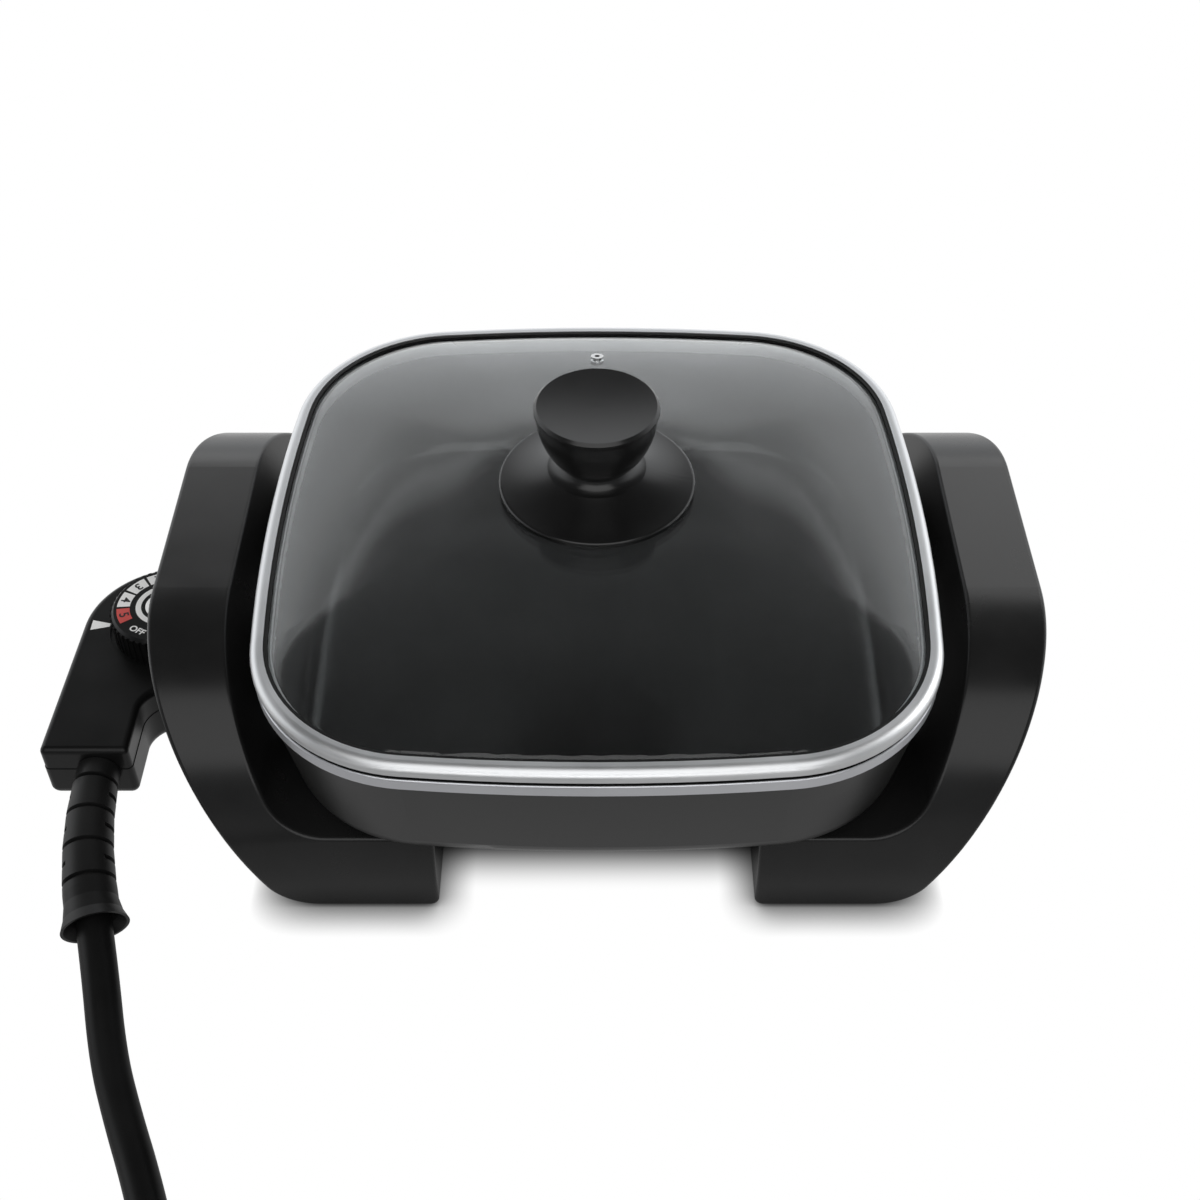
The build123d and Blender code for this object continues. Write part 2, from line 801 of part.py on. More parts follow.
def make_top_cover():
    low = control_split + seat_gap
    roof = control_top - control_wall
    cover = control_shell(low, control_top, cover_inset)
    cover = fillet(cover.faces().sort_by(Axis.Z)[-1].edges(), top_round)
    cover -= control_shell(low - past, roof, cover_inset + control_wall)
    cover += post(dial_x, 0, roof - shaft_boss_height, roof, shaft_boss_radius)
    for x, y in cover_screw_places:
        cover += post(x, y, low, roof, cover_post_radius)
    for x, y in cover_screw_places:
        cover -= post(x, y, low - past, cover_screw_top + past, cover_screw_radius + seat_gap)
    cover -= post(dial_x, 0, control_top - dial_recess, control_top + past, dial_recess_radius)
    cover -= post(dial_x, 0, low, control_top + past, shaft_radius + running_gap)
    return cover - nose_window() - relief_hole()


def make_bottom_cover():
    high = control_split
    deck = control_bottom + control_wall
    cover = control_shell(control_bottom, high, 0)
    cover = fillet(cover.faces().sort_by(Axis.Z)[0].edges(), bottom_round)
    hollow = control_shell(deck, high + past, control_wall)
    cover -= fillet(hollow.faces().sort_by(Axis.Z)[0].edges(), bottom_round - control_wall)
    for x, y in cover_screw_places:
        cover += post(x, y, deck - past, high, cover_post_radius)
    head_top = control_bottom + cover_head_sink + cover_head_height
    for x, y in cover_screw_places:
        cover -= post(x, y, control_bottom - past, high + past, cover_screw_radius + seat_gap)
        cover -= post(x, y, control_bottom - past, head_top, cover_head_radius + seat_gap)
    return cover - nose_window() - relief_hole()


def make_cover_screws():
    low = control_bottom + cover_head_sink
    screws = []
    for x, y in cover_screw_places:
        head = post(x, y, low, low + cover_head_height, cover_head_radius)
        screws.append(head + post(x, y, low + cover_head_height, cover_screw_top, cover_screw_radius))
    return screws


def dial_bottom():
    return control_top - dial_recess + dial_lift


def make_dial():
    face = Circle(dial_radius)
    face -= PolarLocations(dial_radius, flute_count) * Circle(flute_radius)
    low = dial_bottom()
    body = extrude(face, amount=dial_top - dial_bevel - low)
    crown = Pos(0, 0, dial_top - dial_bevel - low) * Cone(
        dial_radius - flute_radius, dial_radius - flute_radius - dial_bevel, dial_bevel,
        align=(Align.CENTER, Align.CENTER, Align.MIN),
    )
    dial = Pos(dial_x, 0, low) * (body + crown)
    dial -= post(dial_x, 0, low - past, low + shaft_in_dial + seat_gap, shaft_radius + seat_gap)
    dial -= post(dial_x, 0, dial_top - cap_thickness, dial_top + past, cap_radius + seat_gap)
    return dial


def make_dial_shaft():
    low = blade_levels()[1][-1] + blade_thickness + shaft_clear
    return post(dial_x, 0, low, dial_bottom() + shaft_in_dial, shaft_radius)


def make_dial_cap():
    return post(dial_x, 0, dial_top - cap_thickness, dial_top, cap_radius)


def make_contact_block():
    inner = control_right - control_wall - cover_inset
    body = block(inner - block_flange, nose_tip, -nose_half, nose_half, nose_bottom, nose_top)
    body += block(inner - block_flange, inner - seat_gap, -flange_half, flange_half,
                  flange_bottom, nose_top)
    depth = socket_length + socket_back + seat_gap
    for bore in terminal_rods(nose_tip - depth, nose_tip + past, socket_radius + seat_gap):
        body -= bore
    return body - rod_x(probe_inner, nose_tip + past, 0, terminal_z, probe_radius + seat_gap)


def make_contact_sockets():
    front = nose_tip - socket_back
    tubes = terminal_rods(front - socket_length, front, socket_radius)
    holes = terminal_rods(front - socket_length - past, front + past, pin_radius + seat_gap)
    return [tube - hole for tube, hole in zip(tubes, holes)]


def make_probe_tube():
    shell = rod_x(probe_inner, -probe_tip - probe_radius, 0, terminal_z, probe_radius)
    return shell + Pos(-probe_tip - probe_radius, 0, terminal_z) * Sphere(probe_radius)


def make_thermostat_bracket():
    low = control_bottom + control_wall
    half = bracket_half
    base = block(bracket_left, bracket_right, -half, half, low, low + bracket_sheet)
    upright = block(bracket_left, bracket_left + bracket_sheet, -half, half, low, bracket_top)
    top = block(bracket_left, bracket_top_right, -half, half, bracket_top - bracket_sheet, bracket_top)
    bearing = post(dial_x, 0, low + 2 * bracket_sheet, bracket_top + past, shaft_radius + running_gap)
    return base + upright + top - bearing


def blade_levels():
    """Lower faces of the stacked spacers, and of the blades on the first two of them."""
    level = control_bottom + control_wall + bracket_sheet
    spacers, blades = [], []
    for height in spacer_heights:
        spacers.append((level, level + height))
        blades.append(level + height)
        level += height + blade_thickness
    return spacers, blades[:-1]


def make_blade_spacers():
    return [block(spacer_left, bracket_right, -spacer_half, spacer_half, low, high)
            for low, high in blade_levels()[0]]


def make_contact_blades():
    return [block(blade_left, bracket_right, -blade_half, blade_half, low, low + blade_thickness)
            for low in blade_levels()[1]]


def relief_path():
    return TangentArc(relief_start, relief_end, tangent=(0, -1, 0))


def relief_circle(share, radius):
    return Plane(relief_path() ^ share) * Circle(radius)


def relief_frame(share):
    """A frame on the strain relief's middle line, with X level and to its side."""
    along = relief_path() % share
    return Plane(origin=relief_path() @ share, x_dir=along.cross(Vector(0, 0, 1)), z_dir=along)


def sleeve_radius(share):
    """The sleeve widens from its root to where the bell begins."""
    return relief_root_radius + (relief_radius - relief_root_radius) * share / relief_sleeve_share


def make_strain_relief():
    stations = [(0.0, relief_root_radius)]
    for share in relief_groove_shares:
        end = share + relief_groove_width_share
        outer = sleeve_radius(share)
        stations.append((share, outer))
        stations.append((share + relief_ramp_share, outer - relief_groove_depth))
        stations.append((end - relief_ramp_share, outer - relief_groove_depth))
        stations.append((end, outer))
    stations.append((relief_sleeve_share, relief_radius))
    stations += [(at, relief_radius * swell) for at, swell in relief_bell_shares]
    body = loft([relief_circle(at, radius) for at, radius in stations], ruled=True)
    slot_far = relief_radius + past
    for share in relief_slot_shares:
        for side in (1, -1):
            middle = side * (relief_slot_inner + slot_far) / 2
            slot = Box(slot_far - relief_slot_inner, 2 * slot_far, relief_slot_width)
            body -= relief_frame(share) * Pos(middle, 0, 0) * slot
    body -= loft([relief_circle(at, relief_radius * swell) for at, swell in mouth_shares], ruled=True)
    x, y, z = relief_start
    inside = y + control_wall + cover_inset
    body += rod_y(y, inside + seat_gap, x, z, relief_neck_radius)
    body += rod_y(inside + seat_gap, inside + relief_flange, x, z, relief_flange_radius)
    return body + rod_y(inside, inside + relief_stub, x, z, cord_radius)


def make_cord_clamp():
    x, y, z = relief_start
    far = y + control_wall + cover_inset + relief_stub
    low = control_bottom + control_wall
    clamp = block(x - clamp_half, x + clamp_half, far - clamp_length, far, low,
                  z + cord_radius + clamp_sheet)
    return clamp - rod_y(far - clamp_length - past, far + past, x, z, cord_radius + seat_gap)


def bend_radii(points):
    """The largest arc that each inner point's two runs allow."""
    radii = []
    for before, here, after in zip(points, points[1:], points[2:]):
        run_in, run_out = here - before, after - here
        half_turn = math.radians(run_in.get_angle(run_out)) / 2
        radii.append(0.45 * min(run_in.length, run_out.length) / math.tan(half_turn))
    return radii


def lead_route():
    """Points of the lead, from the mouth of the strain relief to the coil."""
    mouth = relief_path() @ mouth_floor_share
    heading = relief_path() % mouth_floor_share
    root_x, root_y, _ = relief_start
    points = [Vector(root_x + x, root_y + y, z) for (x, y), z in zip(lead_offsets, lead_heights)]
    return [mouth, mouth + heading * cord_exit_run] + points


def tube(points, label):
    radii = bend_radii(points)
    path = FilletPolyline(points, radius=radii)
    form = sweep(Plane(path ^ 0) * Circle(cord_radius), path)
    ratio = form.volume / (math.pi * cord_radius**2 * path.length)
    print(label, "length", round(path.length), "volume ratio", round(ratio, 4),
          "radii", [round(r) for r in radii])
    return form


def coil_frame():
    """Centre of the coil, and the directions to its start and along its start."""
    route = lead_route()
    heading = (route[-1] - route[-2]).normalized()
    start = route[-1] + heading * cord_diameter
    inward = Vector(-heading.Y, heading.X, 0)
    centre = start + inward * (coil_inner_radius + coil_step * coil_turns_in)
    return centre, inward * -1, heading


def coil_point(turns):
    """A point and heading of the coil. It spirals in on one layer, climbs and spirals out again."""
    centre, outward, heading = coil_frame()
    past_middle = turns - coil_turns_in
    radius = coil_inner_radius + coil_step * abs(past_middle)
    climb = min(max(2 * past_middle + 0.5, 0.0), 1.0)
    rise = layer_height * climb**2 * (3 - 2 * climb)
    steep = layer_height * 6 * climb * (1 - climb) * 2
    angle = 2 * math.pi * turns
    spoke = outward * math.cos(angle) + heading * math.sin(angle)
    along = heading * math.cos(angle) - outward * math.sin(angle)
    drift = coil_step * (0 if past_middle == 0 else math.copysign(1, past_middle))
    ends = (0, coil_turns_in + coil_turns_out)
    velocity = along * (2 * math.pi * radius) + Vector(0, 0, steep)
    if turns not in ends:
        velocity += spoke * drift
    return centre + spoke * radius + Vector(0, 0, rise), velocity.normalized()


def biarc(start, start_way, end, end_way):
    chord = end - start
    ways = start_way + end_way
    bend = 2 * (1 - start_way.dot(end_way))
    across = chord.dot(ways)
    reach = (math.sqrt(across**2 + bend * chord.dot(chord)) - across) / bend
    middle = (start + end + (start_way - end_way) * reach) * 0.5
    first = TangentArc(start, middle, tangent=start_way)
    return [first, TangentArc(middle, end, tangent=first % 1)]


def coil_stations():
    count = round(4 * (coil_turns_in + coil_turns_out))
    return [coil_point(quarter / 4) for quarter in range(count + 1)]


def coil_path():
    stations = coil_stations()
    start, start_way = stations[0]
    end, end_way = stations[-1]
    edges = [Line(start - start_way * cord_diameter, start)]
    for (here, way), (there, next_way) in zip(stations, stations[1:]):
        edges += biarc(here, way, there, next_way)
    edges.append(Line(end, end + end_way * cord_diameter))
    return Wire(edges)


def coil_gap(path):
    """Least clear space between the coil's turns, measured on points along it."""
    count = round(path.length / cord_radius)
    points = [path @ (i / count) for i in range(count + 1)]
    apart = round(math.pi * cord_diameter / cord_radius)
    least = min((points[i] - points[j]).length for i in range(count + 1)
                for j in range(i + apart, count + 1))
    return least - cord_diameter


def make_cord_coil():
    path = coil_path()
    form = sweep(Plane(path ^ 0) * Circle(cord_radius), path)
    ratio = form.volume / (math.pi * cord_radius**2 * path.length)
    print("coil length", round(path.length), "volume ratio", round(ratio, 4),
          "least gap", round(coil_gap(path), 2))
    return form


def tail_route():
    end, way = coil_stations()[-1]
    side = Vector(way.Y, -way.X, 0)
    points = [end + way * cord_diameter]
    for ahead, across, up in tail_steps:
        points.append(points[-1] + way * ahead + side * -across + Vector(0, 0, up))
    return points


def make_cord_tie():
    centre, outward, heading = coil_frame()
    middle = coil_inner_radius + coil_step * coil_turns_in / 2
    width = cord_diameter + 2 * tie_gap
    low = tie_sheet
    height = cord_diameter + layer_height + 2 * tie_gap
    outer = Pos(0, 0, low + height / 2) * Box(width + 2 * tie_sheet, tie_width, height + 2 * tie_sheet)
    inner = Pos(0, 0, low + height / 2) * Box(width, tie_width + past, height)
    place = centre - outward * middle
    frame = Plane(origin=(place.X, place.Y, 0), x_dir=outward * -1, z_dir=(0, 0, 1))
    return frame * (outer - inner)


def plug_frame():
    route = tail_route()
    return Plane(origin=route[-1], z_dir=route[-1] - route[-2], x_dir=(0, 0, 1))


def make_plug_body():
    neck = RectangleRounded(plug_neck, plug_neck, plug_neck / 2 - seat_gap)
    face = RectangleRounded(plug_height, plug_width, plug_round)
    waist = plug_length * plug_neck_share
    body = loft([neck, Pos(0, 0, waist) * face], ruled=True)
    body += Pos(0, 0, waist) * extrude(face, amount=plug_length - waist)
    for x, y in plug_pin_places():
        hole = Cylinder(plug_pin_root_radius + seat_gap, 2 * plug_pin_root)
        body -= Pos(x, y, plug_length) * hole
    return plug_frame() * body


def plug_pin_places():
    half = plug_pin_pitch / 2
    return [(0, half), (0, -half), (plug_earth_offset, 0)]


def make_plug_pins():
    root_length = plug_pin_root - seat_gap
    pin = Pos(0, 0, plug_length + plug_pin_length / 2) * Cylinder(plug_pin_radius, plug_pin_length)
    pin += Pos(0, 0, plug_length - root_length / 2) * Cylinder(plug_pin_root_radius, root_length)
    return [plug_frame() * Pos(x, y, 0) * pin for x, y in plug_pin_places()]


right_handle = make_handle()

NODES = {
    "pan": make_pan(),
    "heating_element": make_element(),
    "element_pins": make_element_pins(),
    "terminal_beads": make_terminal_beads(),
    "terminal_guard": make_guard(),
    "guard_screws": make_guard_screws(),
    "right_handle": right_handle,
    "left_handle": mirror(right_handle, about=Plane.YZ),
    "handle_screws": make_handle_screws(),
    "heat_washers": make_heat_washers(),
    "foot_pads": make_foot_pads(),
    "lid_ring": make_lid_ring(),
    "lid_gasket": make_lid_gasket(),
    "lid_glass": make_lid_glass(),
    "vent_eyelet": make_vent_eyelet(),
    "knob_base": make_knob_base(),
    "knob_grip": make_knob_grip(),
    "knob_insert": make_knob_insert(),
    "knob_screw": make_knob_screw(),
    "knob_washer": make_knob_washer(),
    "knob_seals": make_knob_seals(),
    "control_top_cover": make_top_cover(),
    "control_bottom_cover": make_bottom_cover(),
    "cover_screws": make_cover_screws(),
    "dial": make_dial(),
    "dial_shaft": make_dial_shaft(),
    "dial_cap": make_dial_cap(),
    "contact_block": make_contact_block(),
    "contact_sockets": make_contact_sockets(),
    "probe_tube": make_probe_tube(),
    "thermostat_bracket": make_thermostat_bracket(),
    "blade_spacers": make_blade_spacers(),
    "contact_blades": make_contact_blades(),
    "cord_clamp": make_cord_clamp(),
    "strain_relief": make_strain_relief(),
    "cord_lead": tube(lead_route(), "cord lead"),
    "cord_coil": make_cord_coil(),
    "cord_tail": tube(tail_route(), "cord tail"),
    "cord_tie": make_cord_tie(),
    "plug_body": make_plug_body(),
    "plug_pins": make_plug_pins(),
}

os.makedirs("parts", exist_ok=True)
for name, form in NODES.items():
    shape = Compound(form) if isinstance(form, list) else form
    export_step(shape, f"parts/{name}.step")
print("nodes", len(NODES))
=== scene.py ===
# %% [markdown]
# # An electric cooking pot, dressed in Blender
# The solid pieces come from CAD with their true sizes and names: a square cast pan, two handle
# mouldings, a glass lid and a plug-in temperature control. Blender adds what solids can't say:
# the camera, the cord's soft line, the print on the dial, the finishes and the light.

import json
import math

import bmesh
import bpy
from mathutils import Matrix, Vector

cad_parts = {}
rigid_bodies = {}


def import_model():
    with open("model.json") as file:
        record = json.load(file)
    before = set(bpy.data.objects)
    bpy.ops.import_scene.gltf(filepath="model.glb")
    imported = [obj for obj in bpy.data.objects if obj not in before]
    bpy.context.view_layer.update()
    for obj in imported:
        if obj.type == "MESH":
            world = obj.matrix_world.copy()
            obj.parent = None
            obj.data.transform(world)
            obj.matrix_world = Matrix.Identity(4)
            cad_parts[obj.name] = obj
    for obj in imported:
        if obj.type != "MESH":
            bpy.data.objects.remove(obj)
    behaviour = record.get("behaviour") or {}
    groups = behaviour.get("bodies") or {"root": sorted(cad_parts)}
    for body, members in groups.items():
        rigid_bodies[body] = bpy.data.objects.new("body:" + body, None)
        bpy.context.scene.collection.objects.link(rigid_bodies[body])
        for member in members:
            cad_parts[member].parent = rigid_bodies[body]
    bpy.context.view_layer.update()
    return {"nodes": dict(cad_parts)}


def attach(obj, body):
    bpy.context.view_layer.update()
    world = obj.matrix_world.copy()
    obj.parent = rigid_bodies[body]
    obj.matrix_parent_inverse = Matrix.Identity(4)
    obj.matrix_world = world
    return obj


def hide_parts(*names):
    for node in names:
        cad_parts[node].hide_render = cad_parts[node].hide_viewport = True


for leftover in list(bpy.data.objects):
    bpy.data.objects.remove(leftover, do_unlink=True)
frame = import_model()
cad = frame["nodes"]
mm = 0.001
print("CAD pieces:", len(cad))

# %% [markdown]
# ## The camera
# The photograph looks down on the pot from the front at about 45 degrees. The place and the lens
# were worked out from the lid's square outline, whose far side is narrower than its near side. A
# longer lens would make the two nearly equal, so the lens fixes how near the camera stands.

# %% Set the camera
def add_object(name, data):
    """A new object that holds this data, linked into the scene."""
    made = bpy.data.objects.new(name, data)
    bpy.context.scene.collection.objects.link(made)
    return made


camera_tilt = math.radians(45.3)
camera_data = bpy.data.cameras.new("photo_camera")
camera_data.lens = 49.1
camera_data.sensor_width = 36.0
camera = add_object("photo_camera", camera_data)
camera.location = (0.0014, -0.5591, 0.6235)
camera.rotation_euler = (camera_tilt, 0.0, 0.0)
bpy.context.scene.camera = camera
print("camera height above the table:", round(camera.location.z, 3), "m")

# %% [markdown]
# ## The cord's route
# A cord is one smooth line with a round section. A NURBS curve suits it, because its points only
# pull on the line and never make a corner. The first points lead from the strain relief down to
# the table. The put-away length then winds into a coil: in on a lower layer and out on an upper
# one, as it would be wound by hand. The last points drop back to the table at the plug.

# %% Points of the cord
lead_points = [
    (-218.554, -148.425, 32.320),
    (-210.093, -176.641, 26.637),
    (-201.5, -212.0, 15.0),
    (-191.0, -237.0, 10.4),
    (-179.5, -261.0, 9.25),
    (-166.5, -292.0, 9.25),
    (-158.0, -323.0, 9.25),
    (-153.5, -350.0, 9.25),
    (-150.5, -371.0, 9.25),
]
tail_points = [
    (-43.918, -454.516, 25.35),
    (-14.219, -450.274, 25.35),
    (13.924, -449.284, 20.35),
    (42.208, -449.284, 12.7),
    (68.654, -450.557, 12.7),
]
coil_middle = Vector((-70.894, -375.285, 9.25))
coil_out = Vector((-0.989949, -0.141421, 0.0))
coil_ahead = Vector((0.141421, -0.989949, 0.0))
coil_inner, coil_step, layer_height = 62.0, 16.2, 16.1
turns_in, turns_out, climb_turns, points_per_turn = 1.0, 1.25, 0.5, 16


def coil_points():
    """Points of the wound length. They stand a little outside the line that they pull."""
    pull = 1 / math.cos(math.pi / points_per_turn)
    found = []
    for step in range(round(points_per_turn * (turns_in + turns_out)) + 1):
        turns = step / points_per_turn
        radius = pull * (coil_inner + coil_step * abs(turns - turns_in))
        share = min(max((turns - turns_in) / climb_turns + 0.5, 0.0), 1.0)
        height = layer_height * share * share * (3 - 2 * share)
        angle = 2 * math.pi * turns
        spoke = coil_out * math.cos(angle) + coil_ahead * math.sin(angle)
        found.append(coil_middle + spoke * radius + Vector((0, 0, height)))
    return found


route = [Vector(p) for p in lead_points] + coil_points() + [Vector(p) for p in tail_points]
print("points on the cord's route:", len(route))

# %% [markdown]
# ## The cord itself
# The curve gets a round bevel, and each point's radius makes it as thick as the jacket. The order
# and the end setting come after the points, because Blender limits the order by the number of
# points that a spline has.

# %% Lay the cord
cord_radius = 7.75
cord_curve = bpy.data.curves.new("cord", "CURVE")
cord_curve.dimensions = "3D"
cord_curve.bevel_depth = 1.0
cord_curve.bevel_resolution = 8
cord_curve.resolution_u = 10
cord_curve.use_fill_caps = True
cord_line = cord_curve.splines.new("NURBS")
cord_line.points.add(len(route) - 1)
for point, place in zip(cord_line.points, route):
    point.co = (*(place * mm), 1.0)
    point.radius = cord_radius * mm
cord_line.order_u = 3
cord_line.use_endpoint_u = True
cord = add_object("cord", cord_curve)
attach(cord, "control")
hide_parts("cord_lead", "cord_coil", "cord_tail")
print("cord length:", round(cord_line.calc_length(), 3), "m")

# %% [markdown]
# ## How a finish is made
# Most of this pot is black, so the finishes differ in gloss and grain more than in colour. One
# helper builds them: soft patches between two near tones, a roughness that wanders a little and a
# fine grain as bump. The noise reads object coordinates, which keep still on the piece.

# %% Helpers for nodes
def add_noise(tree, scale, detail):
    """Noise that keeps still on the piece."""
    place = tree.nodes.new("ShaderNodeTexCoord")
    noise = tree.nodes.new("ShaderNodeTexNoise")
    noise.inputs["Scale"].default_value = scale
    noise.inputs["Detail"].default_value = detail
    tree.links.new(place.outputs["Object"], noise.inputs["Vector"])
    return noise.outputs["Fac"]


def span(tree, value, start, end, low=0.0, high=1.0, smooth=False):
    """Carry a value from the range of start to end over to the range of low to high."""
    node = tree.nodes.new("ShaderNodeMapRange")
    if smooth:
        node.interpolation_type = "SMOOTHSTEP"
    names = ("From Min", "From Max", "To Min", "To Max")
    for name, bound in zip(names, (start, end, low, high)):
        node.inputs[name].default_value = bound
    tree.links.new(value, node.inputs["Value"])
    return node.outputs["Result"]


print("node helpers ready")

# %% A helper for finishes
patches_per_metre, patch_detail, grain_detail = 30.0, 5.0, 2.0
patch_low, patch_high = 0.3, 0.7


def grey(level):
    """A colour without a hue."""
    return (level, level, level)


def finish(name, dark, light, rough, grain, depth, metallic=0.0, specular=0.5):
    """A procedural material with two tones, a range of roughness and a grain in millimetres."""
    material = bpy.data.materials.new(name)
    material.use_nodes = True
    tree = material.node_tree
    shader = tree.nodes["Principled BSDF"]
    shader.inputs["Metallic"].default_value = metallic
    shader.inputs["Specular IOR Level"].default_value = specular
    patches = add_noise(tree, patches_per_metre, patch_detail)
    tones = tree.nodes.new("ShaderNodeValToRGB")
    first, last = tones.color_ramp.elements
    first.position, last.position = patch_low, patch_high
    first.color, last.color = (*dark, 1.0), (*light, 1.0)
    tree.links.new(patches, tones.inputs["Fac"])
    tree.links.new(tones.outputs["Color"], shader.inputs["Base Color"])
    wander = span(tree, patches, patch_low, patch_high, *rough)
    tree.links.new(wander, shader.inputs["Roughness"])
    bump = tree.nodes.new("ShaderNodeBump")
    bump.inputs["Strength"].default_value = 1.0
    bump.inputs["Distance"].default_value = depth * mm
    tree.links.new(add_noise(tree, 1.0 / (grain * mm), grain_detail), bump.inputs["Height"])
    tree.links.new(bump.outputs["Normal"], shader.inputs["Normal"])
    return material


def wear(material, *names):
    """Give CAD pieces a finish."""
    for name in names:
        cad[name].data.materials.clear()
        cad[name].data.materials.append(material)


print("finish helper ready")

# %% [markdown]
# ## Black mouldings
# The handles are moulded in a satin heat-proof plastic with a fine spark-eroded grain. The control
# is a little duller, and the knob a little smoother, so each shows its own soft highlight. The
# brown blocks inside the control are of a rough, heat-proof resin.

# %% Plastics
handle_black = finish("handle_black", grey(0.007), grey(0.010), rough=(0.22, 0.28), grain=0.5,
                      depth=0.003, specular=0.37)
control_black = finish("control_black", grey(0.003), grey(0.005), rough=(0.28, 0.36), grain=0.5,
                       depth=0.004, specular=0.25)
knob_black = finish("knob_black", grey(0.004), grey(0.006), rough=(0.20, 0.26), grain=0.6,
                    depth=0.003, specular=0.5)
block_brown = finish("block_brown", (0.020, 0.017, 0.014), (0.032, 0.027, 0.022),
                     rough=(0.5, 0.65), grain=0.8, depth=0.02)
wear(handle_black, "left_handle", "right_handle")
wear(control_black, "control_top_cover", "control_bottom_cover", "dial", "cord_tie")
wear(knob_black, "knob_base", "knob_grip")
wear(block_brown, "contact_block", "cord_clamp")
print("plastics on the handles, the control and the knob")

# %% [markdown]
# ## Rubber and cord jacket
# Rubber is duller than the mouldings, and its grain is coarser. The cord's jacket is darker than
# the strain relief that it comes from.

# %% Rubbers
rubber_black = finish("rubber_black", grey(0.006), grey(0.009), rough=(0.36, 0.46), grain=0.6,
                      depth=0.01, specular=0.28)
seal_black = finish("seal_black", grey(0.004), grey(0.007), rough=(0.4, 0.5), grain=0.8,
                    depth=0.004, specular=0.3)
jacket_black = finish("jacket_black", grey(0.003), grey(0.005), rough=(0.34, 0.42), grain=0.9,
                      depth=0.01, specular=0.2)
wear(rubber_black, "foot_pads", "strain_relief", "plug_body")
wear(seal_black, "lid_gasket", "knob_seals")
cord_curve.materials.append(jacket_black)
print("rubbers on the feet, seals and cord")

# %% [markdown]
# ## Metals and ceramic
# The lid's ring is pale satin metal, drawn along its length, so its grain is fine and even. Inside
# there are dull element steel, bright small steel parts, brass contacts and white ceramic.

# %% Metals
ring_metal = finish("ring_metal", (0.71, 0.72, 0.73), (0.77, 0.78, 0.79), rough=(0.36, 0.46),
                    grain=0.35, depth=0.003, metallic=1.0)
small_steel = finish("small_steel", grey(0.50), grey(0.62), rough=(0.22, 0.36), grain=0.5,
                     depth=0.004, metallic=1.0)
element_steel = finish("element_steel", (0.22, 0.21, 0.20), (0.34, 0.33, 0.31), rough=(0.4, 0.6),
                       grain=0.8, depth=0.01, metallic=1.0)
contact_brass = finish("contact_brass", (0.62, 0.45, 0.18), (0.74, 0.56, 0.26),
                       rough=(0.22, 0.36), grain=0.5, depth=0.004, metallic=1.0)
bead_ceramic = finish("bead_ceramic", (0.62, 0.60, 0.55), (0.76, 0.74, 0.69), rough=(0.5, 0.7),
                      grain=0.6, depth=0.01)
wear(ring_metal, "lid_ring")
wear(small_steel, "vent_eyelet", "knob_screw", "knob_washer", "handle_screws", "guard_screws",
     "cover_screws", "terminal_guard", "probe_tube", "dial_shaft", "thermostat_bracket")
wear(element_steel, "heating_element", "element_pins")
wear(contact_brass, "contact_sockets", "contact_blades", "knob_insert", "plug_pins")
wear(bead_ceramic, "terminal_beads", "blade_spacers", "heat_washers")
print("metals and ceramic on the small parts")

# %% [markdown]
# ## The pan's three finishes
# The casting has a glossy black coat inside and a greyer satin one outside, and its rim band is
# machined bare. All are on one solid, so the finish is chosen face by face: the band is above the
# coated wall and outside the cavity, and an outer face looks away from the middle. The outline's
# sides and corners are arcs about fixed centres, so a face's distance from its arc's centre says
# how far out it is.

# %% Plan of the pot
lid_half, side_radius, corner_radius = 151.0, 875.8, 75.5
side_centre = lid_half - side_radius
corner_reach = side_radius - corner_radius
corner_centre = (side_centre + math.sqrt(2 * corner_reach**2 - side_centre**2)) / 2


def plan_half(x, y):
    """Half width of the pot's outline that passes through a point of the plan."""
    far, near = max(abs(x), abs(y)), min(abs(x), abs(y))
    slope = corner_centre / (corner_centre - side_centre)
    if near > slope * (far - side_centre):
        return lid_half - corner_radius + math.hypot(far - corner_centre, near - corner_centre)
    return side_centre + math.hypot(far - side_centre, near)


print("corner centre at", round(corner_centre, 1), "mm")

# %% Coats and bare rim
rim_bottom, rim_inner, floor_top = 108.9, 149.5, 51.0
most_upward = 0.3
inside, rim, outside = range(3)
pan_coating = finish("pan_coating", grey(0.009), grey(0.012), rough=(0.20, 0.26), grain=0.5,
                     depth=0.003, specular=0.5)
bare_rim = finish("bare_rim", (0.73, 0.74, 0.77), (0.79, 0.80, 0.83), rough=(0.36, 0.46),
                  grain=0.4, depth=0.004, metallic=1.0)
outer_coat = finish("outer_coat", grey(0.013), grey(0.017), rough=(0.30, 0.36), grain=0.5,
                    depth=0.003, specular=0.45)
wear(pan_coating, "pan")
pan_mesh = cad["pan"].data
pan_mesh.materials.append(bare_rim)
pan_mesh.materials.append(outer_coat)
for face in pan_mesh.polygons:
    x, y, z = (v / mm for v in face.center)
    outward = face.normal.x * x + face.normal.y * y > 0 and face.normal.z < most_upward
    if z > rim_bottom and plan_half(x, y) > rim_inner:
        face.material_index = rim
    elif outward or z < floor_top:
        face.material_index = outside
print("pan faces inside, on the rim and outside:",
      [sum(face.material_index == kind for face in pan_mesh.polygons)
       for kind in (inside, rim, outside)])

# %% [markdown]
# ## Glass
# The lid is clear tempered glass with a faint green edge. Principled transmission bends the light
# as glass does and reflects more at a flat angle. A trace of unevenness keeps it from looking
# like nothing at all. It casts no shadow, so the lamps reach the pan through it.

